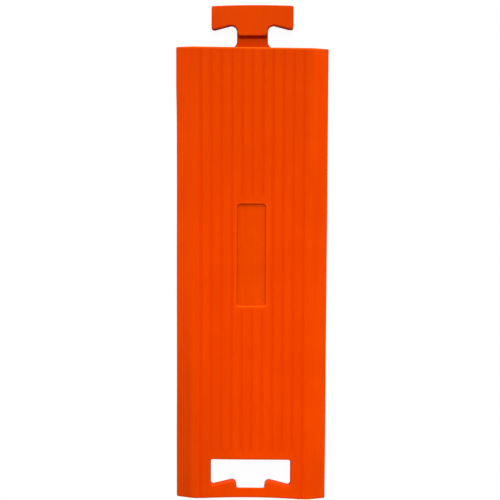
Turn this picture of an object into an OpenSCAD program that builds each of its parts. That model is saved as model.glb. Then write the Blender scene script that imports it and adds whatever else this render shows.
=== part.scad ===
// Portable rumble strip module: a ribbed slab with a T tongue at one end and a T socket at the other.
// Millimetres. The origin is the middle of the slab's underside, +Y points to the tongue, +Z is up.
// The next module's socket drops over the tongue head, and its end bar lies on the low web of the neck.

/* [Slab] */
// Length between the two ends, without the tongue
slab_l = 914.4; // [760:0.1:1200]
// Width over both bevels
slab_w = 304.8; // [254:0.1:400]
// Thickness at the flat crown
slab_t = 19; // [16:0.5:26]
// Width of the bevel along each long side
bevel_w = 35; // [20:1:45]
// Height of the blunt edge that is left under each bevel
edge_h = 6; // [3:0.5:9]
// Radius of the soft shoulder between a bevel and the crown
shoulder_r = 30; // [5:1:40]
// Radius of the slab's corners in plan
corner_r = 3; // [1:0.5:12]
// How far the middle of the socket end is drawn in
end_bow = 3.2; // [0.5:0.1:5]
// Length of that drawn-in stretch
end_bow_w = 200; // [120:5:240]

/* [Ribs] */
// Distance from one groove to the next
groove_pitch = 20.6; // [16:0.1:30]
// Width of a groove at the crown
groove_w = 6.5; // [5:0.5:13]
// Depth of a groove
groove_d = 1; // [0.6:0.1:2.4]
// Plain margin that the grooves leave round the socket and the recess
groove_margin = 10; // [6:0.5:14]

/* [Underside] */
// Distance from one grip groove under the slab to the next
grip_pitch = 25.4; // [18:0.1:50]
// Width of a grip groove
grip_w = 7; // [4:0.5:10]
// Depth of a grip groove
grip_d = 1.2; // [0.6:0.1:2]
// Plain margin round the grip grooves
grip_margin = 16; // [12:1:30]

/* [Recess] */
// Width of the bare recess in the crown
recess_w = 58.4; // [40:0.1:72]
// Length of the recess
recess_l = 206.3; // [120:0.1:230]
// Depth of the recess
recess_d = 2.5; // [1:0.5:5]
// Corner radius of the recess
recess_r = 6.5; // [3:0.5:12]
// Distance from the tongue end of the slab to the recess
recess_from_end = 312.2; // [220:0.1:330]

/* [Tongue] */
// Width of the T head over its wings
head_w = 162; // [140:0.1:180]
// Distance from the slab's end to the far edge of the head
tongue_reach = 82.6; // [78:0.1:100]
// Rise of the head's far edge from its corners to its middle
head_crown = 1.8; // [0.5:0.1:4]
// Length of a wing at its tip, from the middle of the far edge
wing_tip_l = 46.5; // [42:0.1:50]
// Slope of the underside of a wing, so that its tip hooks back
wing_hook = 14; // [5:1:18]
// Flat land under the tip of a wing
tip_land = 5; // [2:0.5:8]
// Radius of the corners at the tips
tip_r = 4; // [2:0.5:6]
// Radius of the head's far corners
far_corner_r = 3; // [1:0.5:5]
// Radius of the fillet between the neck and a wing
root_r = 10; // [6:0.5:12]
// Width of the neck
neck_w = 59.2; // [48:0.1:64]
// Thickness of the low web that is left of the neck beside the slab
web_t = 9; // [6:0.1:11]
// Length of the low web
web_l = 20; // [19:0.5:24]
// How far the step from the web up to the full thickness leans back
step_lean = 5; // [1:0.5:6]
// Radius of the flare where the web meets the slab
flare_r = 11.5; // [4:0.5:13]
// Radius of the fillet from the top of the web up the slab's end
web_fillet_r = 2.5; // [1:0.5:4]

/* [Socket] */
// Gap between the ends of two linked slabs
link_gap = 2; // [1:0.5:5]
// Clearance along each side of the head and the neck
side_gap = 0.6; // [0.4:0.1:2]
// Clearance of the linked head's far edge
head_gap = 0.6; // [0.5:0.1:3]
// Clearance between a linked end bar and the step of the neck
bar_gap = 0.8; // [0.5:0.1:3]
// Clearance behind the tip of a linked wing
hook_gap = 7.7; // [4:0.1:10]
// Radius of the humps between the notch and the pockets
hump_r = 9; // [5:0.5:11]
// Corner radius of the socket
socket_r = 4; // [2:0.5:6]
// Height of the relief under the end bar above the web that it holds
relief_gap = 1; // [0.5:0.1:2]
// Clearance on each side of the flared web in the relief
relief_side = 1; // [0.5:0.5:3]

/* [Hidden] */
orange = "#e94201";
orange_web = "#d83c02";
cut = 1;              // how far a cutter runs past the face that it opens
arc_steps = 5;        // straight runs in a rounded corner of an outline
$fn = 96;

crown_w = slab_w - 2 * bevel_w;
crown_side = crown_w / 2 - shoulder_r * tan(atan2(slab_t - edge_h, bevel_w) / 2);
end_y = slab_l / 2;

// The tongue, along Y
head_y = end_y + tongue_reach;
tip_y = head_y - wing_tip_l;
step_y = end_y + web_l;
neck_x = neck_w / 2;
head_x = head_w / 2;
root_y = tip_y + (head_x - tip_land - neck_x) * tan(wing_hook);

// The socket, along Y, is the linked module's tongue moved back by the pitch, plus its clearances
link_pitch = slab_l + link_gap;
lean = step_lean / (slab_t - web_t);
relief_h = web_t + relief_gap;
socket_top_y = head_y - link_pitch + head_gap;
bar_y = step_y + relief_gap * lean - link_pitch - bar_gap;
pocket_y = tip_y - link_pitch - hook_gap;
notch_x = neck_x + side_gap;
socket_x = head_x + side_gap;
hump_y = pocket_y + (socket_x - tip_land - notch_x) * tan(wing_hook);
step_r = socket_r + side_gap;
flare_out = flare_r - sqrt(pow(flare_r, 2) - pow(flare_r - link_gap, 2));
relief_x = neck_x + flare_out + relief_side;

// The recess, along Y
recess_top_y = end_y - recess_from_end;
recess_y = recess_top_y - recess_l / 2;

// The grooves: as many as the crown holds, the same on each side of the middle one
groove_side = floor((crown_side - groove_w / 2) / groove_pitch);
groove_r = scoop_r(groove_w, groove_d);

// The grip grooves: as many as fit between the socket and the tongue end, with the origin on flat land
grip_first = ceil((socket_top_y + grip_margin) / grip_pitch - 0.5);
grip_last = floor((end_y - grip_margin) / grip_pitch - 0.5);
grip_r = scoop_r(grip_w, grip_d);

// Radius of the round scoop that leaves a groove of this width and depth
function scoop_r(w, d) = (w * w / 4 + d * d) / (2 * d);

// An outline from corners [x, y, radius], each radius as an arc that touches both sides
function unit(v) = v / norm(v);
function corner_arc(a, p, b, r) =
    let (
        u = unit([a.x - p.x, a.y - p.y]),
        v = unit([b.x - p.x, b.y - p.y]),
        half = acos(max(-1, min(1, u * v))) / 2,
        middle = unit(u + v) * r / sin(half),
        centre = [p.x, p.y] + middle,
        from = [p.x, p.y] + u * r / tan(half) - centre,
        to = [p.x, p.y] + v * r / tan(half) - centre,
        turn = 180 - 2 * half,
        way = from.x * to.y - from.y * to.x > 0 ? 1 : -1
    )
    [for (i = [0:arc_steps])
        let (t = way * turn * i / arc_steps)
        centre + [from.x * cos(t) - from.y * sin(t), from.x * sin(t) + from.y * cos(t)]];
function outline(corners) =
    let (n = len(corners))
    [for (i = [0:n - 1])
        let (p = corners[i], a = corners[(i + n - 1) % n], b = corners[(i + 1) % n])
        each p.z > 0 ? corner_arc(a, p, b, p.z) : [[p.x, p.y]]];

// Corners for the +X half, followed by their mirror images
function both_sides(half) =
    concat(half, [for (i = [len(half) - 1:-1:0]) [-half[i].x, half[i].y, half[i].z]]);

// Cross-section of the slab, X across and Y up
module slab_section() {
    polygon(outline(both_sides([
        [slab_w / 2, 0, 0],
        [slab_w / 2, edge_h, 1.5],
        [crown_w / 2, slab_t, shoulder_r]
    ])));
}

// Plan of the slab, with its socket end drawn in by a shallow arc
module slab_plan() {
    bow_r = scoop_r(end_bow_w, end_bow);
    difference() {
        polygon(outline(both_sides([
            [slab_w / 2, -end_y, corner_r],
            [slab_w / 2, end_y, corner_r]
        ])));
        translate([0, -end_y + end_bow - bow_r]) circle(bow_r, $fn = 360);
    }
}

module slab_blank() {
    intersection() {
        rotate([90, 0, 0]) linear_extrude(slab_l + 2 * cut, center = true) slab_section();
        linear_extrude(slab_t) slab_plan();
    }
}

// One scooped groove from y0 up to y1, with a round run-out where it ends on the crown
module groove(x, y0, y1, stop0, stop1) {
    translate([x, y0, slab_t + groove_r - groove_d]) {
        rotate([-90, 0, 0]) cylinder(y1 - y0, groove_r, groove_r);
        if (stop0) sphere(groove_r);
        if (stop1) translate([0, y1 - y0, 0]) sphere(groove_r);
    }
}

module grooves() {
    recess_stop = groove_margin + groove_w / 2;
    for (i = [-groove_side:groove_side]) {
        x = i * groove_pitch;
        by_recess = abs(x) < recess_w / 2 + groove_margin;
        by_socket = abs(x) < socket_x + groove_margin;
        low_y = by_socket ? socket_top_y + recess_stop : -end_y - cut;
        if (by_recess) {
            groove(x, recess_top_y + recess_stop, end_y + cut, true, false);
            groove(x, low_y, recess_top_y - recess_l - recess_stop, by_socket, true);
        } else {
            groove(x, low_y, end_y + cut, by_socket, false);
        }
    }
}

// Scooped grooves across the underside, which end short of the edges with round run-outs
module grip_grooves() {
    half = slab_w / 2 - grip_margin;
    for (i = [grip_first:grip_last])
        translate([0, (i + 0.5) * grip_pitch, grip_d - grip_r]) {
            rotate([0, 90, 0]) cylinder(2 * half, grip_r, grip_r, center = true);
            for (side = [-1, 1]) translate([side * half, 0, 0]) sphere(grip_r);
        }
}

module recess() {
    translate([0, recess_y, slab_t - recess_d])
        linear_extrude(recess_d + cut)
            polygon(outline(both_sides([
                [recess_w / 2, -recess_l / 2, recess_r],
                [recess_w / 2, recess_l / 2, recess_r]
            ])));
}

// Everything beyond a face that leans back over Y from the height z0 up, X across
module beyond_leaning_face(y, z0, far_y) {
    rotate([90, 0, 90])
        linear_extrude(2 * socket_x + 2 * cut, center = true)
            polygon([
                [y, -cut],
                [far_y, -cut],
                [far_y, slab_t + cut],
                [y + (slab_t + cut - z0) * lean, slab_t + cut],
                [y, z0]
            ]);
}

// The T-shaped opening for the next tongue, and the relief that lets the end bar down over its web
module socket() {
    intersection() {
        translate([0, 0, -cut])
            linear_extrude(slab_t + 2 * cut)
                polygon(outline(both_sides([
                    [notch_x, bar_y, socket_r],
                    [notch_x, hump_y, hump_r],
                    [socket_x - tip_land, pocket_y, 2 * socket_r],
                    [socket_x, pocket_y, socket_r * 0.6],
                    [socket_x, socket_top_y, socket_r]
                ])));
        beyond_leaning_face(bar_y, relief_h, socket_top_y + cut);
    }
    translate([-relief_x, -end_y - cut, -cut])
        cube([2 * relief_x, bar_y + socket_r + end_y + cut, relief_h + cut]);
}

// Slab with its crown, bevels, grooves, bare recess and socket
module ribbed_slab() {
    color(orange)
        difference() {
            slab_blank();
            grooves();
            grip_grooves();
            recess();
            socket();
        }
}

// Plan of the head and its thick root, with a far edge that rises to its middle
module head_plan() {
    crown_r = scoop_r(head_w, head_crown);
    intersection() {
        polygon(outline(both_sides([
            [neck_x, step_y, step_r],
            [neck_x, root_y, root_r],
            [head_x - tip_land, tip_y, 2 * tip_r],
            [head_x, tip_y, tip_r * 0.6],
            [head_x, head_y - head_crown, far_corner_r],
            [0, head_y + head_crown, 0]
        ])));
        translate([0, head_y - crown_r]) circle(crown_r, $fn = 360);
    }
}

// Barbed T head at full thickness, with the leaning step that its root starts from
module tongue_head() {
    color(orange)
        intersection() {
            linear_extrude(slab_t) head_plan();
            beyond_leaning_face(step_y, web_t, head_y + cut);
        }
}

// Low web that bends as a living hinge, flared and filleted where it grows out of the slab's end
module tongue_neck() {
    color(orange_web)
        intersection() {
            linear_extrude(slab_t)
                difference() {
                    polygon(outline(both_sides([
                        [neck_x + flare_r, end_y, 0],
                        [neck_x, end_y, flare_r],
                        [neck_x, step_y + step_r, 0]
                    ])));
                    head_plan();
                }
            rotate([90, 0, 90])
                linear_extrude(2 * (neck_x + flare_r), center = true)
                    polygon(outline([
                        [end_y, 0, 0],
                        [step_y + step_r, 0, 0],
                        [step_y + step_r, web_t, 0],
                        [end_y, web_t, web_fillet_r],
                        [end_y, web_t + web_fillet_r, 0]
                    ]));
        }
}

ribbed_slab();
tongue_neck();
tongue_head();
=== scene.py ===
# Portable rumble strip module in soft orange PVC: skins, material, studio and camera, in metres.
import math

import bpy
import numpy as np
from mathutils import Matrix, Vector, geometry, noise


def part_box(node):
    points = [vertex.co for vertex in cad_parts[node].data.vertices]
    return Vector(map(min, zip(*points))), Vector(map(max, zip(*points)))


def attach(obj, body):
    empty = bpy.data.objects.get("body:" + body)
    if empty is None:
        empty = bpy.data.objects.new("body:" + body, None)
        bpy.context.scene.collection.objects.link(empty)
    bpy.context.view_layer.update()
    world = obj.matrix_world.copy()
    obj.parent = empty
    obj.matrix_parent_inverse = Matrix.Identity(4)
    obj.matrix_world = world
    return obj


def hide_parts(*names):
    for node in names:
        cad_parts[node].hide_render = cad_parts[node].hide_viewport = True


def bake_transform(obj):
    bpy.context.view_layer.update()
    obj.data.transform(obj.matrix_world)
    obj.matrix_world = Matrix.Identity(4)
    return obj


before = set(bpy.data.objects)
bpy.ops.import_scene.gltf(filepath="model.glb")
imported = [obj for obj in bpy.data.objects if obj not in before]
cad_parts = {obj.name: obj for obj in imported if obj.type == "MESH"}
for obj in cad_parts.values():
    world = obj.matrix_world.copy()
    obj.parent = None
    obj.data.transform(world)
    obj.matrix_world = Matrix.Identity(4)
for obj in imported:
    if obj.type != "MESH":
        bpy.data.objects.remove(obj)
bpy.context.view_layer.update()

MM = 0.001

# The slab, from the frame
slab_lo, slab_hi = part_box("ribbed_slab")
SLAB_X = slab_hi.x
END_Y = slab_hi.y
SLAB_T = slab_hi.z
BEVEL_W = 35 * MM
EDGE_H = 6 * MM
SHOULDER_R = 30 * MM
CORNER_R = 3 * MM
END_BOW = 3.2 * MM
END_BOW_W = 200 * MM

# The tongue, from the frame
head_lo, head_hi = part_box("tongue_head")
neck_lo, neck_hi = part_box("tongue_neck")
HEAD_X = head_hi.x
HEAD_Y = head_hi.y
STEP_Y = head_lo.y
FLARE_R = 11.5 * MM
NECK_X = neck_hi.x - FLARE_R
NECK_SWELL = 1.5 * MM
HEAD_SWELL = 0.9 * MM
SOFT_FLARE_R = 14 * MM
WEB_FILLET_R = 2.5 * MM
WEB_T = neck_hi.z - WEB_FILLET_R
HEAD_CROWN = 1.8 * MM
FAR_CORNER_R = 3 * MM
WING_TIP_L = 46.5 * MM
WING_HOOK = math.radians(14)
TIP_LAND = 5 * MM
TIP_R = 4 * MM
SOFT_TIP_LAND = 8 * MM
SOFT_TIP_UP = 0.75 * MM
ROOT_R = 11 * MM
STEP_LEAN = 5 * MM
STEP_CORNER_R = 4.9 * MM
TIP_Y = HEAD_Y - WING_TIP_L
ROOT_Y = TIP_Y + (HEAD_X - TIP_LAND - NECK_X) * math.tan(WING_HOOK)

# The socket: the next module's tongue moved back by the pitch, plus its clearances
PITCH = 2 * END_Y + 2 * MM
SIDE_GAP = 0.6 * MM
LEAN = STEP_LEAN / (SLAB_T - WEB_T)
RELIEF_H = WEB_T + 1 * MM
RELIEF_X = NECK_X + 6.02 * MM
SOCKET_R = 4 * MM
SOFT_CORNER_R = 5 * MM
SOCKET_TOP_Y = HEAD_Y - PITCH + 0.6 * MM
BAR_Y = STEP_Y + (RELIEF_H - WEB_T) * LEAN - PITCH - 0.8 * MM
POCKET_Y = TIP_Y - PITCH - 7.7 * MM
NOTCH_X = NECK_X + SIDE_GAP
HUMP_R = 9 * MM
SOCKET_X = HEAD_X + SIDE_GAP
HUMP_Y = POCKET_Y + (SOCKET_X - TIP_LAND - NOTCH_X) * math.tan(WING_HOOK)

# The recess and the grooves in the crown, and the grip grooves under the slab
RECESS_X = 28.6 * MM
RECESS_ASIDE = -1.0 * MM
RECESS_HALF_L = 103.5 * MM
RECESS_Y = END_Y - 311.8 * MM - RECESS_HALF_L
RECESS_R = 6.5 * MM
RECESS_D = 2.5 * MM
GROOVE_PITCH = 20.6 * MM
GROOVE_SIDE = 5
GROOVE_D = 0.75 * MM
GROOVE_FLOOR = 0.4 * MM
GROOVE_HALF = 4.2 * MM
GROOVE_MARGIN = 11 * MM
GROOVE_FADE = 17 * MM
SOCKET_MARGIN = 7 * MM
RECESS_MARGIN = 5 * MM
GRIP_PITCH = 25.4 * MM
GRIP_MARGIN = 16 * MM
GRIP_HALF = 4 * MM
GRIP_D = 1.2 * MM

# The softness of the moulding: edge radii, draft of the walls and unevenness
EDGE_R = 1.6 * MM
FOOT_R = 0.6 * MM
DRAFT = 0.012
WAVE = 0.35 * MM
SINK = 0.16 * MM

# How the photographed moulding departs from its nominal plan
SKEW_FAR = 0.0105
SKEW_NEAR = 0.0075
FAR_LONGER = 0.8 * MM
NEAR_LONGER = 1.2 * MM
RIGHT_WIDER = 0.4 * MM
LEFT_WIDER = 1.5 * MM
TONGUE_ASIDE = 0.85 * MM
HEAD_ASIDE_LESS = 0.35 * MM
HEAD_LONGER = 0.036
HEAD_SKEW = 0.008
HEAD_FIXED = 28 * MM
SOCKET_ASIDE = 0.5 * MM
NOTCH_NARROWER = 2.1 * MM
NOTCH_WIDER = 0.3 * MM
NOTCH_SHORTER = 0.6 * MM
SOCKET_TOP_DOWN = 0.7 * MM
POCKET_LAND_MORE = 1.2 * MM
POCKET_SHORTER = 0.3 * MM


def unit(v):
    return v / np.linalg.norm(v)


def corner_arc(a, p, b, r, runs):
    """Points of the arc of radius r that rounds the corner p between its neighbours a and b."""
    u, v = unit(a - p), unit(b - p)
    half = math.acos(np.clip(u @ v, -1, 1)) / 2
    centre = p + unit(u + v) * r / math.sin(half)
    start = p + u * r / math.tan(half) - centre
    end = p + v * r / math.tan(half) - centre
    way = 1 if start[0] * end[1] - start[1] * end[0] > 0 else -1
    points = []
    for i in range(runs + 1):
        t = way * (math.pi - 2 * half) * i / runs
        c, s = math.cos(t), math.sin(t)
        points.append(centre + np.array([start[0] * c - start[1] * s, start[0] * s + start[1] * c]))
    return points


def outline(corners, runs=8):
    """A closed outline from corners (x, y, radius)."""
    points = []
    for i, (x, y, r) in enumerate(corners):
        a = np.array(corners[i - 1][:2])
        b = np.array(corners[(i + 1) % len(corners)][:2])
        p = np.array([x, y])
        points += corner_arc(a, p, b, r, runs) if r else [p]
    return points


def both_sides(half):
    return half + [(-x, y, r) for x, y, r in reversed(half)]


def densify(points, xs, ys, step):
    """Splits the straight runs at the columns xs, at the rows ys, or else every step."""
    out = []
    for p, q in zip(points, points[1:] + points[:1]):
        d = q - p
        length = np.linalg.norm(d)
        if length < 0.02 * MM:
            continue
        out.append(p)
        if length < 1.6 * step:
            continue
        if abs(d[1]) < 1e-6 and len(xs):
            cuts = [(x - p[0]) / d[0] for x in xs]
        elif abs(d[0]) < 1e-6 and len(ys):
            cuts = [(y - p[1]) / d[1] for y in ys]
        else:
            n = math.ceil(length / step)
            cuts = [i / n for i in range(1, n)]
        clear = 0.25 * MM / length
        out += [p + d * t for t in sorted(cuts) if clear < t < 1 - clear]
    return np.array(out)


def inward(loop):
    """The unit normals to the left of a closed loop, which is where its material is."""
    d = np.roll(loop, -1, axis=0) - loop
    d /= np.linalg.norm(d, axis=1)[:, None]
    left = np.stack([-d[:, 1], d[:, 0]], axis=1)
    n = left + np.roll(left, 1, axis=0)
    n /= np.linalg.norm(n, axis=1)[:, None]
    return n / np.clip((n * left).sum(axis=1), 0.6, 1)[:, None]


def inside(points, loop):
    """Which points lie inside a closed loop, by the even-odd rule."""
    hit = np.zeros(len(points), bool)
    x, y = points[:, 0], points[:, 1]
    for (x1, y1), (x2, y2) in zip(loop, np.roll(loop, -1, axis=0)):
        if y1 == y2:
            continue
        crosses = ((y1 > y) != (y2 > y)) & (x < (x2 - x1) * (y - y1) / (y2 - y1) + x1)
        hit ^= crosses
    return hit


def far_from(points, loop, gap):
    """Which points lie further than gap from every point of a loop."""
    near = np.zeros(len(points), bool)
    for p in loop:
        near |= ((points - p) ** 2).sum(axis=1) < gap * gap
    return ~near


def smooth_step(t):
    t = np.clip(t, 0, 1)
    return t * t * (3 - 2 * t)


def lines(centre, offsets):
    return [centre + side * o for o in offsets for side in ((-1, 1) if o else (1,))]


def tidy_lines(values, least):
    """Sorted values with near neighbours dropped."""
    kept = []
    for v in sorted(values):
        if not kept or v - kept[-1] > least:
            kept.append(v)
    return kept


def uneven(x, y, seed, length):
    """Slow, seeded waves between -1 and 1."""
    return np.array([noise.noise(Vector((a / length, b / length, seed))) for a, b in zip(x, y)])


class Moulding:
    """A plate with a height field on each face, soft edges and drafted walls, from closed outlines."""

    def __init__(self, name, top, bottom, edge_r=EDGE_R):
        self.name, self.top, self.bottom, self.edge_r = name, top, bottom, edge_r
        self.points, self.faces = [], []
        self.rims = {"top": [], "bottom": []}

    def ring(self, xy, z):
        first = sum(len(p) for p in self.points)
        self.points.append(np.column_stack([xy, z]))
        return np.arange(first, first + len(xy))

    def band(self, upper, lower):
        for i in range(len(upper)):
            j = (i + 1) % len(upper)
            self.faces.append((upper[i], lower[i], lower[j], upper[j]))

    def wall(self, loop, shift=None, hole=False):
        """The edge and wall along one outline. shift moves its top edge, and so leans that stretch."""
        n = inward(loop)
        shift = np.zeros_like(loop) if shift is None else shift
        lift = DRAFT * SLAB_T
        rim = loop + n * (self.edge_r + lift) + shift
        z_top = self.top(rim[:, 0], rim[:, 1])
        rings = []
        for a in (90, 72, 54, 36, 18, 0):
            c, s = math.cos(math.radians(a)), math.sin(math.radians(a))
            xy = loop + n * (self.edge_r * (1 - c) + lift) + shift
            rings.append(self.ring(xy, z_top - self.edge_r * (1 - s)))
        foot = loop + n * FOOT_R
        z_foot = self.bottom(foot[:, 0], foot[:, 1])
        for a in (0, 30, 60, 90):
            c, s = math.cos(math.radians(a)), math.sin(math.radians(a))
            xy = loop + n * FOOT_R * (1 - c)
            rings.append(self.ring(xy, z_foot + FOOT_R * (1 - s)))
        for upper, lower in zip(rings, rings[1:]):
            self.band(upper, lower)
        self.rims["top"].append((rings[0], rim, hole))
        self.rims["bottom"].append((rings[-1], foot, hole))

    def cap(self, face, inner, gap=1.2 * MM):
        """Fills one face between its rims, through the inner points."""
        height = self.top if face == "top" else self.bottom
        keep = np.ones(len(inner), bool)
        for _, loop, hole in self.rims[face]:
            keep &= inside(inner, loop) != hole
            keep &= far_from(inner, loop, gap)
        inner = inner[keep]
        ids = list(self.ring(inner, height(inner[:, 0], inner[:, 1])))
        xy, edges, numbers = [], [], []
        for ring, loop, _ in self.rims[face]:
            first = len(xy)
            xy += [Vector(p) for p in loop]
            numbers += list(ring)
            edges += [(first + i, first + (i + 1) % len(loop)) for i in range(len(loop))]
        xy += [Vector(p) for p in inner]
        numbers += ids
        verts, _, tris, origin, _, _ = geometry.delaunay_2d_cdt(xy, edges, [], 0, 1e-7)
        where = np.array([v[:] for v in verts])
        tris = np.array([t for t in tris if all(origin[v] for v in t)])
        centres = where[tris].mean(axis=1)
        keep = np.ones(len(tris), bool)
        for _, loop, hole in self.rims[face]:
            keep &= inside(centres, loop) != hole
        for t in tris[keep]:
            a, b, c = (numbers[origin[v][0]] for v in t)
            self.faces.append((a, b, c) if face == "top" else (c, b, a))

    def build(self, warp, tone):
        points = np.vstack(self.points)
        tones = tone(points[:, 0], points[:, 1], points[:, 2])
        # Painted shade over broad areas, stored on every point.
        tones["painted_broad_shade"] = painted_broad_shade(points[:, 0], points[:, 1])
        points = warp(points)
        mesh = bpy.data.meshes.new(self.name)
        mesh.from_pydata(points.tolist(), [], [tuple(int(v) for v in f) for f in self.faces])
        for key, values in tones.items():
            mesh.attributes.new(key, "FLOAT", "POINT").data.foreach_set("value", values)
        mesh.validate()
        mesh.update()
        mesh.shade_smooth()
        mesh.set_sharp_from_angle(angle=math.radians(38))
        obj = bpy.data.objects.new(self.name, mesh)
        bpy.context.scene.collection.objects.link(obj)
        return obj


def grid(xs, ys):
    gx, gy = np.meshgrid(np.array(xs), np.array(ys))
    return np.column_stack([gx.ravel(), gy.ravel()])


def crown(x):
    """Height of the slab's section: flat crown, round shoulder, bevel."""
    slope = (SLAB_T - EDGE_H) / BEVEL_W
    angle = math.atan(slope)
    edge = SLAB_X - BEVEL_W
    x0 = edge - SHOULDER_R * math.tan(angle / 2)
    x1 = x0 + SHOULDER_R * math.sin(angle)
    ax = np.abs(x)
    arc = SLAB_T - SHOULDER_R + np.sqrt(np.clip(SHOULDER_R**2 - (ax - x0) ** 2, 0, None))
    bevel = SLAB_T - (ax - edge) * slope
    return np.where(ax < x0, SLAB_T, np.where(ax < x1, arc, bevel))


def groove_stretches():
    """(x, low end, high end) of each groove; None where it runs out through the slab's end."""
    found = []
    for i in range(-GROOVE_SIDE, GROOVE_SIDE + 1):
        x = i * GROOVE_PITCH
        low = SOCKET_TOP_Y + SOCKET_MARGIN if abs(x) < SOCKET_X + GROOVE_MARGIN / 2 else None
        if abs(x) < RECESS_X + GROOVE_MARGIN / 2:
            found.append((x, RECESS_Y + RECESS_HALF_L + RECESS_MARGIN, None))
            found.append((x, low, RECESS_Y - RECESS_HALF_L - RECESS_MARGIN))
        else:
            found.append((x, low, None))
    return found


GROOVES = groove_stretches()
GRIP_FIRST = math.ceil((SOCKET_TOP_Y + GRIP_MARGIN) / GRIP_PITCH - 0.5)
GRIP_LAST = math.floor((END_Y - GRIP_MARGIN) / GRIP_PITCH - 0.5)
GRIP_YS = [(i + 0.5) * GRIP_PITCH for i in range(GRIP_FIRST, GRIP_LAST + 1)]


def scoop(u, floor, half):
    """1 over the floor of a groove, falling smoothly to 0 at its half width."""
    return 0.5 + 0.5 * np.cos(math.pi * np.clip((u - floor) / (half - floor), 0, 1))


def hollow(x, y, floor, half):
    """1 along the middle of a groove, 0 beside it, fading where a groove ends on the crown."""
    most = np.zeros_like(x)
    for gx, low, high in GROOVES:
        fade = np.ones_like(x)
        if low is not None:
            fade = fade * smooth_step((y - low) / GROOVE_FADE)
        if high is not None:
            fade = fade * smooth_step((high - y) / GROOVE_FADE)
        most = np.maximum(most, fade * scoop(np.abs(x - gx), floor, half))
    return most


def recess_distance(x, y):
    qx = np.abs(x - RECESS_ASIDE) - (RECESS_X - RECESS_R)
    qy = np.abs(y - RECESS_Y) - (RECESS_HALF_L - RECESS_R)
    return np.hypot(np.maximum(qx, 0), np.maximum(qy, 0)) + np.minimum(np.maximum(qx, qy), 0) - RECESS_R


def slab_top(x, y):
    z = crown(x)
    z = z - GROOVE_D * hollow(x, y, GROOVE_FLOOR, GROOVE_HALF)
    wall = 1.3 * MM
    z = z - RECESS_D * smooth_step((wall - recess_distance(x, y)) / (2 * wall))
    return z + SINK * uneven(x, y, 3.7, 75 * MM)


def slab_bottom(x, y):
    z = np.zeros_like(x)
    for gy in GRIP_YS:
        over = np.maximum(np.abs(x) - (SLAB_X - GRIP_MARGIN), 0)
        z = z + GRIP_D * scoop(np.hypot(over, y - gy), 0.6 * MM, GRIP_HALF)
    side = smooth_step((RELIEF_X - np.abs(x)) / (0.6 * MM) + 0.5)
    end = smooth_step((BAR_Y + SOCKET_R - y) / (0.6 * MM) + 0.5)
    return z + RELIEF_H * side * end


def end_bow(x, y):
    """How far the middle of the socket end is drawn in."""
    r = (END_BOW_W**2 / 4 + END_BOW**2) / (2 * END_BOW)
    arc = np.sqrt(np.clip(r * r - x * x, 0, None)) - (r - END_BOW)
    return np.where(y < BAR_Y, np.clip(arc, 0, None), 0)


def settle(points):
    """The uneven, slightly skewed outline of a soft moulding, in plan only."""
    x, y = points[:, 0].copy(), points[:, 1].copy()
    to_end = smooth_step((np.abs(y) / END_Y - 0.55) / 0.45)
    skew = np.where(y > 0, SKEW_FAR, SKEW_NEAR)
    at_far_end = smooth_step((y - END_Y) / (40 * MM) + 1)
    at_bar = smooth_step((-y - END_Y + 13 * MM) / (9 * MM))
    spread = FAR_LONGER * at_far_end - NEAR_LONGER * at_bar
    points[:, 1] = y - skew * x * to_end + spread + WAVE * uneven(x, y, 11.3, 90 * MM)
    wide = np.where(x > 0, RIGHT_WIDER, LEFT_WIDER * smooth_step((y - 300 * MM) / (100 * MM)))
    points[:, 0] = x + wide * x / SLAB_X + WAVE * uneven(x, y, 5.1, 120 * MM)
    return points


def painted_broad_shade(x, y):
    """Painted shade over broad areas: darker towards the tongue, less so on the bevels, a little darker
    towards the socket end, and darker in the near left corner and on the recess floor.
    """
    on_bevel = smooth_step((np.abs(x) - SLAB_X + BEVEL_W) / (10 * MM))
    far = np.clip((y + 0.15) / 0.66, 0, 1) ** 2 * (1 - 0.9 * on_bevel)
    near = 0.2 * smooth_step((-y - 0.2) / 0.25)
    corner = 0.75 * smooth_step((0.02 - x) / 0.17) * smooth_step((-y - 0.05) / 0.35)
    floor = 0.35 * smooth_step(-recess_distance(x, y) / (2 * MM))
    return np.clip(far + near + corner + floor, 0, 1)


def slab_tone(x, y, z):
    """Painted shade in the grooves, at the recess wall and on one bevel, a deeper tone on the crown, and
    painted highlights on the recess rims and the end edge.
    """
    on_crown = smooth_step((SLAB_X - BEVEL_W + 2 * MM - np.abs(x)) / (8 * MM))
    # Painted shade along the grooves, and a deeper tone over the crown than on the bevels.
    tone = 0.3 * on_crown + 0.7 * hollow(x, y, 1.2 * MM, 5.2 * MM)
    tone = tone * smooth_step(recess_distance(x, y) / (2 * MM) + 1)
    # Painted shade along the recess wall and on the near part of the left bevel.
    soil = 0.3 * smooth_step(1 - np.abs(recess_distance(x, y) + 0.8 * MM) / (3.5 * MM))
    soil += 0.18 * smooth_step((BEVEL_W - SLAB_X - x) / (10 * MM)) * smooth_step((-y - 0.05) / 0.15)
    # Painted highlights: a band just outside the recess rim, a line across its near end and a strip along
    # the slab's tongue end, on the upper part only.
    lip = 0.16 * smooth_step(1 - np.abs(recess_distance(x, y) - 1.8 * MM) / (2.4 * MM))
    near_end = RECESS_Y - RECESS_HALF_L
    across = np.abs(x - RECESS_ASIDE) < RECESS_X - 1 * MM
    lip += 0.3 * smooth_step(1 - np.abs(y - near_end) / (2.2 * MM)) * across
    end = 0.6 * smooth_step((y - END_Y + 4 * MM) / (2 * MM))
    worn = (lip + end) * smooth_step((z - SLAB_T / 2) / (4 * MM))
    above = z > SLAB_T / 4
    return {"depth_tone": np.where(above, tone, 0.4), "soil": np.where(above, soil, 0), "worn": worn}


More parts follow.
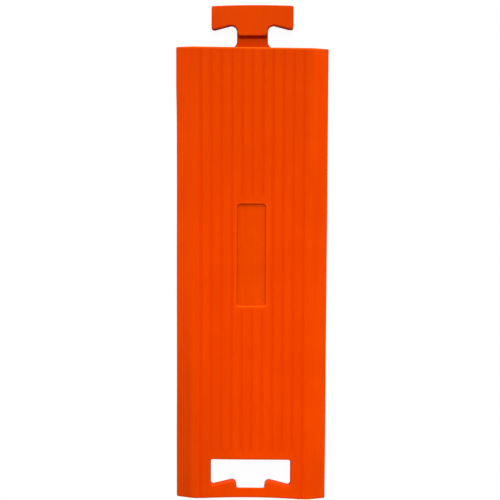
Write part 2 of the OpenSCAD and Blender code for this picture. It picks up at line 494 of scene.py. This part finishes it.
def make_slab():
    groove_offsets = [0, 0.7 * MM, 1.4 * MM, 2.1 * MM, 2.8 * MM, 3.5 * MM, 4.2 * MM, 5.2 * MM]
    xs = [v for i in range(-GROOVE_SIDE, GROOVE_SIDE + 1) for v in lines(i * GROOVE_PITCH, groove_offsets)]
    xs += [s * (SLAB_X - BEVEL_W + d * MM) for s in (-1, 1) for d in (-6, -4, -2, 0, 2, 4, 6, 13, 20, 27)]
    relief_xs = lines(0, [RELIEF_X + d * MM for d in (-0.9, -0.3, -0.15, 0, 0.15, 0.3, 0.9)])
    xs = tidy_lines(xs, 0.5 * MM)
    fades = [SOCKET_TOP_Y + SOCKET_MARGIN + GROOVE_FADE / 2] + [
        RECESS_Y + s * (RECESS_HALF_L + RECESS_MARGIN + GROOVE_FADE / 2) for s in (-1, 1)
    ]
    ys = list(np.arange(-END_Y + 6 * MM, END_Y - 5 * MM, 11 * MM))
    ys += [s + d * MM for s in fades for d in (-11, -8.5, -6, -3, 0, 3, 6, 8.5, 11)]
    ys += [END_Y - d * MM for d in (4.5, 7)]
    ys = tidy_lines(ys, 1.2 * MM)

    slab = Moulding("slab_moulding", slab_top, slab_bottom)
    plan = outline([
        (SLAB_X, -END_Y, CORNER_R), (SLAB_X, END_Y, CORNER_R),
        (-SLAB_X, END_Y, CORNER_R), (-SLAB_X, -END_Y, CORNER_R),
    ])
    end_xs = tidy_lines(list(xs) + relief_xs, 0.1 * MM)
    plan = densify(plan, end_xs, ys, 3 * MM)
    plan[:, 1] += end_bow(plan[:, 0], plan[:, 1])
    slab.wall(plan)

    hole = outline(both_sides([
        (NOTCH_X - NOTCH_NARROWER, BAR_Y + NOTCH_SHORTER, SOFT_CORNER_R),
        (NOTCH_X + NOTCH_WIDER, HUMP_Y, HUMP_R),
        (SOCKET_X - TIP_LAND - POCKET_LAND_MORE, POCKET_Y + POCKET_SHORTER, 2 * SOCKET_R),
        (SOCKET_X, POCKET_Y + POCKET_SHORTER, SOFT_CORNER_R),
        (SOCKET_X, SOCKET_TOP_Y - SOCKET_TOP_DOWN, SOFT_CORNER_R),
    ]))[::-1]
    hole = [p - np.array([SOCKET_ASIDE, 0]) for p in hole]
    hole = densify(hole, xs, ys, 1 * MM)
    rise = (SLAB_T - RELIEF_H) * LEAN
    on_bar = np.clip((BAR_Y + SOCKET_R - hole[:, 1]) / (0.6 * SOCKET_R), 0, 1)
    shift = np.column_stack([np.zeros(len(hole)), rise * on_bar])
    slab.wall(hole, shift, hole=True)

    inner = grid(xs, ys)
    rings = [-2.4, -1.9, -1.5, -1.1, -0.7, -0.35, 0, 0.35, 0.7, 1.1, 1.5, 1.9, 2.4]
    inner = inner[np.abs(recess_distance(inner[:, 0], inner[:, 1])) > 2.9 * MM]
    contours = [inner]
    for s in rings:
        hx, hy, r = RECESS_X + s * MM, RECESS_HALF_L + s * MM, RECESS_R + s * MM
        corners = ((1, -1), (1, 1), (-1, 1), (-1, -1))
        contour = outline([(RECESS_ASIDE + x * hx, RECESS_Y + y * hy, r) for x, y in corners])
        contours.append(densify(contour, [], [], 4 * MM))
    slab.cap("top", np.vstack(contours), 0.8 * MM)

    grip_xs = [s * (SLAB_X - GRIP_MARGIN + d * MM) for s in (-1, 1) for d in (-2, 0, 1, 2, 3, 4, 6)]
    grip_xs = tidy_lines(grip_xs + list(np.arange(-0.125, 0.126, 0.025)), 0.5 * MM)
    grip_offsets = [0, 0.8 * MM, 1.6 * MM, 2.4 * MM, 3.2 * MM, 4.2 * MM, 6 * MM]
    grip_ys = [v for y in GRIP_YS for v in lines(y, grip_offsets)]
    under = [grid(grip_xs, grip_ys)]
    relief_ys = tidy_lines(
        list(np.arange(-END_Y + 3.2 * MM, BAR_Y + SOCKET_R - 1.2 * MM, 1.5 * MM))
        + [BAR_Y + SOCKET_R + d * MM for d in (-0.9, -0.3, -0.15, 0, 0.15, 0.3, 0.9)], 0.1 * MM)
    under.append(grid(relief_xs, relief_ys))
    under.append(grid(np.arange(-0.03, 0.031, 0.005), relief_ys))
    slab.cap("bottom", np.vstack(under), 0.25 * MM)
    return slab.build(settle, slab_tone)


def tongue_top(x, y):
    """Low web, leaning step and full-thickness head."""
    over = np.clip(np.abs(x) - (NECK_X - STEP_CORNER_R), 0, STEP_CORNER_R)
    start = STEP_Y + STEP_CORNER_R - np.sqrt(STEP_CORNER_R**2 - over**2)
    t = (y - start) / STEP_LEAN
    soft = 0.09
    rise = np.clip(t, 0, 1)
    rise = np.where(t < soft, np.clip(t + soft, 0, None) ** 2 / (4 * soft), rise)
    rise = np.where(t > 1 - soft, 1 - np.clip(1 + soft - t, 0, None) ** 2 / (4 * soft), rise)
    up = np.clip(WEB_FILLET_R - (y - END_Y), 0, WEB_FILLET_R)
    fillet = WEB_FILLET_R - np.sqrt(WEB_FILLET_R**2 - up**2)
    return WEB_T + (SLAB_T - WEB_T) * rise + fillet + SINK * uneven(x, y, 3.7, 75 * MM) * rise


def tongue_bottom(x, y):
    """Flat, and just clear of the slab's own underside where the tongue runs into it."""
    return np.where(y < END_Y - 0.5 * MM, 0.05 * MM, 0)


def lean_over(points):
    """The tongue sits slightly to one side, and its head is a little longer and askew."""
    x, y = points[:, 0].copy(), points[:, 1].copy()
    out = smooth_step((y - END_Y) / (STEP_Y - END_Y))
    points[:, 0] = x - (TONGUE_ASIDE - HEAD_ASIDE_LESS * out)
    points[:, 1] = y + (HEAD_LONGER * (y - (HEAD_Y - HEAD_FIXED)) + HEAD_SKEW * x) * out
    return points


def tongue_tone(x, y, z):
    """Painted shade on the step and, more thinly, on the web and the sides of the neck."""
    above = smooth_step((z - WEB_T - 0.1 * MM) / (0.8 * MM)) * (y < STEP_Y + 1.1 * STEP_LEAN)
    step = above * smooth_step((SLAB_T - 0.2 * MM - z) / (2.5 * MM)) * (y > END_Y + WEB_FILLET_R)
    step = step * (1 - 0.55 * smooth_step((-x - NECK_X + 9 * MM) / (9 * MM)))
    off_slab = smooth_step((y - END_Y - 1 * MM) / (3 * MM))
    web = 0.22 * smooth_step((STEP_Y + STEP_LEAN - y) / STEP_LEAN) * off_slab
    beside = smooth_step((np.abs(x) - NECK_X + 2.5 * MM) / (2.5 * MM))
    side = 0.3 * beside * smooth_step((ROOT_Y - 4 * MM - y) / (8 * MM))
    soil = np.maximum(step, web + side)
    return {"depth_tone": np.full_like(x, 0.4), "soil": soil, "worn": np.zeros_like(x)}


def make_tongue():
    embed = 4 * MM
    neck_x, head_x = NECK_X + NECK_SWELL, HEAD_X + HEAD_SWELL
    crown_r = (HEAD_X**2 + HEAD_CROWN**2) / (2 * HEAD_CROWN)
    plan = outline(both_sides([
        (neck_x + SOFT_FLARE_R + 1 * MM, END_Y - embed, 0),
        (neck_x + SOFT_FLARE_R + 1 * MM, END_Y - 0.3 * MM, 0),
        (neck_x, END_Y - 0.3 * MM, SOFT_FLARE_R), (neck_x, ROOT_Y, ROOT_R),
        (head_x - SOFT_TIP_LAND, TIP_Y + SOFT_TIP_UP, 2 * TIP_R), (head_x, TIP_Y + SOFT_TIP_UP, TIP_R),
        (head_x, HEAD_Y - HEAD_CROWN, FAR_CORNER_R),
    ]))
    web_ys = list(np.arange(END_Y + 1 * MM, STEP_Y - 1 * MM, 1 * MM))
    web_ys += list(np.arange(STEP_Y - 1 * MM, STEP_Y + STEP_LEAN + STEP_CORNER_R + 1 * MM, 0.4 * MM))
    head_ys = list(np.arange(STEP_Y + 12 * MM, HEAD_Y, 3 * MM))
    ys = tidy_lines(web_ys + head_ys, 0.3 * MM)
    plan = densify(plan, np.arange(-0.0795, 0.08, 0.003), ys, 2 * MM)
    far = plan[:, 1] > HEAD_Y - HEAD_CROWN - 1e-6
    plan[far, 1] = HEAD_Y - crown_r + np.sqrt(crown_r**2 - plan[far, 0] ** 2)

    tongue = Moulding("tongue_moulding", tongue_top, tongue_bottom, 1.0 * MM)
    tongue.wall(plan)
    web_xs = list(np.arange(-0.0275, 0.028, 0.0025)) + lines(0, [NECK_X + d * MM for d in (-2.8, 1.2, 2.4)])
    inner = [grid(tidy_lines(web_xs, 0.4 * MM), ys), grid(np.arange(-0.0775, 0.078, 0.005), head_ys)]
    inner.append(grid(web_xs, [END_Y + d * MM for d in (-0.6, 0, 0.3, 0.6, 1.0, 1.5, 2.0, 2.6)]))
    inner = np.unique(np.round(np.vstack(inner), 6), axis=0)
    tongue.cap("top", inner, 0.35 * MM)
    tongue.cap("bottom", inner, 0.35 * MM)
    return tongue.build(lean_over, tongue_tone)


class Nodes:
    """Short calls for building a material's node tree."""

    def __init__(self, name):
        self.material = bpy.data.materials.new(name)
        self.material.use_nodes = True
        self.tree = self.material.node_tree
        self.shader = self.tree.nodes["Principled BSDF"]
        self.place = self.add("ShaderNodeTexCoord").outputs["Object"]

    def add(self, kind, **settings):
        node = self.tree.nodes.new(kind)
        for key, value in settings.items():
            setattr(node, key, value)
        return node

    def link(self, a, b):
        self.tree.links.new(a, b)

    def attribute(self, name):
        return self.add("ShaderNodeAttribute", attribute_name=name).outputs["Fac"]

    def stretched(self, scale):
        node = self.add("ShaderNodeMapping")
        node.inputs["Scale"].default_value = scale
        self.link(self.place, node.inputs["Vector"])
        return node.outputs["Vector"]

    def noise(self, scale, detail=3.0, rough=0.55, place=None):
        node = self.add("ShaderNodeTexNoise")
        node.inputs["Scale"].default_value = scale
        node.inputs["Detail"].default_value = detail
        node.inputs["Roughness"].default_value = rough
        self.link(place or self.place, node.inputs["Vector"])
        return node.outputs["Fac"]

    def spread(self, value, low, high, to_low=0.0, to_high=1.0):
        node = self.add("ShaderNodeMapRange")
        node.interpolation_type = "SMOOTHSTEP"
        for key, v in zip(("From Min", "From Max", "To Min", "To Max"), (low, high, to_low, to_high)):
            node.inputs[key].default_value = v
        self.link(value, node.inputs["Value"])
        return node.outputs["Result"]

    def mix(self, amount, a, b, blend="MIX"):
        node = self.add("ShaderNodeMix", data_type="RGBA", blend_type=blend)
        for socket, v in ((node.inputs[0], amount), (node.inputs[6], a), (node.inputs[7], b)):
            if hasattr(v, "is_output"):
                self.link(v, socket)
            else:
                socket.default_value = v
        return node.outputs[2]

    def maths(self, operation, a, b):
        node = self.add("ShaderNodeMath", operation=operation)
        for socket, v in zip(node.inputs, (a, b)):
            if hasattr(v, "is_output"):
                self.link(v, socket)
            else:
                socket.default_value = v
        return node.outputs[0]

    def bump(self, height, strength, distance, below=None):
        node = self.add("ShaderNodeBump")
        node.inputs["Strength"].default_value = strength
        node.inputs["Distance"].default_value = distance
        self.link(height, node.inputs["Height"])
        if below:
            self.link(below, node.inputs["Normal"])
        return node.outputs["Normal"]


def soft_pvc(name, colour):
    """Soft orange PVC with flow streaks, cloudy tone, painted shade in grooves, corners and broad areas,
    painted highlights on rims and edges, mould grain, scuffs and dust.
    """
    n = Nodes(name)
    deep = (colour[0] * 0.9, colour[1] * 0.8, colour[2], 1)
    bright = (min(colour[0] * 1.05, 1), colour[1] * 1.12, colour[2], 1)
    dust = (min(colour[0] * 1.02, 1), colour[1] * 1.6, colour[2] + 0.004, 1)
    streaks = n.noise(60, 3, 0.6, n.stretched((1, 0.05, 1)))
    clouds = n.noise(9, 4, 0.6)
    tone = n.maths("ADD", n.maths("MULTIPLY", streaks, 0.45), n.maths("MULTIPLY", clouds, 0.55))
    tone = n.spread(tone, 0.36, 0.64)
    body = n.mix(tone, deep, bright)
    body = n.mix(0.5, (*colour, 1), body)
    # Painted shade in the grooves and a deeper tone on the crown.
    body = n.mix(n.attribute("depth_tone"), body, (colour[0] * 0.94, colour[1] * 0.74, 0, 1))
    # Painted shade over broad areas: towards the tongue, in the near left corner and on the recess floor.
    body = n.mix(n.attribute("painted_broad_shade"), body, (0.855, 0.945, 1, 1), "MULTIPLY")
    # Painted shade at the recess wall, on the left bevel, the step, the web and the neck's sides.
    body = n.mix(n.attribute("soil"), body, (0.5, 0.38, 0.4, 1), "MULTIPLY")
    # Painted highlights on the recess rims and along the slab's tongue end.
    body = n.mix(n.attribute("worn"), body, (1, colour[1] * 2.6, 0.004, 1))
    specks = n.spread(n.noise(420, 2, 0.7), 0.66, 0.78, 0, 0.25)
    body = n.mix(specks, body, deep)
    scuffs = n.noise(140, 5, 0.65, n.stretched((1, 0.22, 1)))
    scuffs = n.maths("MULTIPLY", n.spread(scuffs, 0.6, 0.78), n.spread(n.noise(16, 2), 0.45, 0.7))
    body = n.mix(n.maths("MULTIPLY", scuffs, 0.3), body, dust)
    n.link(body, n.shader.inputs["Base Color"])
    rough = n.spread(n.noise(28, 4), 0.3, 0.7, 0.5, 0.62)
    n.link(n.maths("ADD", rough, n.maths("MULTIPLY", scuffs, 0.12)), n.shader.inputs["Roughness"])
    grain = n.noise(1500, 2, 0.6)
    pits = n.noise(380, 3, 0.6)
    relief = n.bump(grain, 0.28, 0.12 * MM)
    relief = n.bump(pits, 0.3, 0.2 * MM, relief)
    n.link(n.bump(n.noise(45, 2), 0.35, 0.35 * MM, relief), n.shader.inputs["Normal"])
    n.shader.inputs["IOR"].default_value = 1.45
    n.shader.inputs["Specular IOR Level"].default_value = 0.25
    n.shader.inputs["Specular Tint"].default_value = (1.0, 0.3, 0.0, 1)
    return n.material


def make_camera():
    """Straight above the slab, a little past its middle, tilted back towards the socket."""
    height = 1916.2 * MM
    tilt, lean, roll = 0.05761, -0.000975, -0.004719
    to_camera = Matrix.Rotation(roll, 3, "Z") @ Matrix.Rotation(lean, 3, "Y") @ Matrix.Rotation(tilt, 3, "X")
    data = bpy.data.cameras.new("camera")
    data.sensor_width = 36
    data.lens = 942.3 / 500 * data.sensor_width
    data.clip_start, data.clip_end = 0.05, 20
    camera = bpy.data.objects.new("camera", data)
    place = Matrix.Translation((-1.65 * MM, 162.2 * MM, height))
    camera.matrix_world = place @ to_camera.transposed().to_4x4()
    bpy.context.scene.collection.objects.link(camera)
    bpy.context.scene.camera = camera


def make_stage():
    """Pale floor that keeps the object's shadow, and shows near white to the camera."""
    size = 6
    mesh = bpy.data.meshes.new("floor")
    corners = [(-size, -size), (size, -size), (size, size), (-size, size)]
    mesh.from_pydata([(x, y, -0.3 * MM) for x, y in corners], [], [(0, 1, 2, 3)])
    floor = bpy.data.objects.new("floor", mesh)
    bpy.context.scene.collection.objects.link(floor)
    material = bpy.data.materials.new("floor_white")
    material.use_nodes = True
    tree = material.node_tree
    shader = tree.nodes["Principled BSDF"]
    shader.inputs["Base Color"].default_value = (0.45, 0.45, 0.45, 1)
    shader.inputs["Roughness"].default_value = 0.9
    shader.inputs["Specular IOR Level"].default_value = 0.0
    white = tree.nodes.new("ShaderNodeEmission")
    white.inputs["Color"].default_value = (1, 1, 1, 1)
    white.inputs["Strength"].default_value = 1.09
    path = tree.nodes.new("ShaderNodeLightPath")
    share = tree.nodes.new("ShaderNodeMath")
    share.operation = "MULTIPLY"
    share.inputs[1].default_value = 0.86
    tree.links.new(path.outputs["Is Camera Ray"], share.inputs[0])
    mix = tree.nodes.new("ShaderNodeMixShader")
    tree.links.new(share.outputs[0], mix.inputs[0])
    tree.links.new(shader.outputs[0], mix.inputs[1])
    tree.links.new(white.outputs[0], mix.inputs[2])
    tree.links.new(mix.outputs[0], tree.nodes["Material Output"].inputs["Surface"])
    mesh.materials.append(material)


# Name, direction, share of the light on the flat crown, angle over which it is soft
LAMPS = [
    ("overhead", (0.095, 0.46, 0.88), 0.62, 40),
    ("key", (0.05, 0.94, 0.34), 0.28, 16),
]
WORLD = 0.18


def make_light():
    """A soft lamp overhead, a low one from beyond the tongue, and a little fill from all round."""
    world = bpy.data.worlds.new("studio")
    bpy.context.scene.world = world
    world.use_nodes = True
    tree = world.node_tree
    fill = tree.nodes["Background"]
    fill.inputs["Color"].default_value = (1, 1, 1, 1)
    fill.inputs["Strength"].default_value = WORLD
    white = tree.nodes.new("ShaderNodeBackground")
    white.inputs["Color"].default_value = (1, 1, 1, 1)
    white.inputs["Strength"].default_value = 1.0
    path = tree.nodes.new("ShaderNodeLightPath")
    mix = tree.nodes.new("ShaderNodeMixShader")
    tree.links.new(path.outputs["Is Camera Ray"], mix.inputs[0])
    tree.links.new(fill.outputs[0], mix.inputs[1])
    tree.links.new(white.outputs[0], mix.inputs[2])
    tree.links.new(mix.outputs[0], tree.nodes["World Output"].inputs["Surface"])

    for name, towards, level, angle in LAMPS:
        towards = Vector(towards).normalized()
        data = bpy.data.lights.new(name, "SUN")
        data.energy = level * math.pi / towards.z
        data.angle = math.radians(angle)
        lamp = bpy.data.objects.new(name, data)
        lamp.rotation_mode = "QUATERNION"
        lamp.rotation_quaternion = towards.to_track_quat("Z", "Y")
        bpy.context.scene.collection.objects.link(lamp)


make_camera()
make_light()
make_stage()

ORANGE = (0.84, 0.057, 0.0)
pvc = soft_pvc("soft_orange_pvc", ORANGE)
slab = make_slab()
slab.data.materials.append(pvc)
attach(slab, "strip")
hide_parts("ribbed_slab")

tongue = make_tongue()
tongue.data.materials.append(pvc)
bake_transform(tongue)
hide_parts("tongue_neck", "tongue_head")

bpy.context.scene.view_settings.view_transform = "Standard"
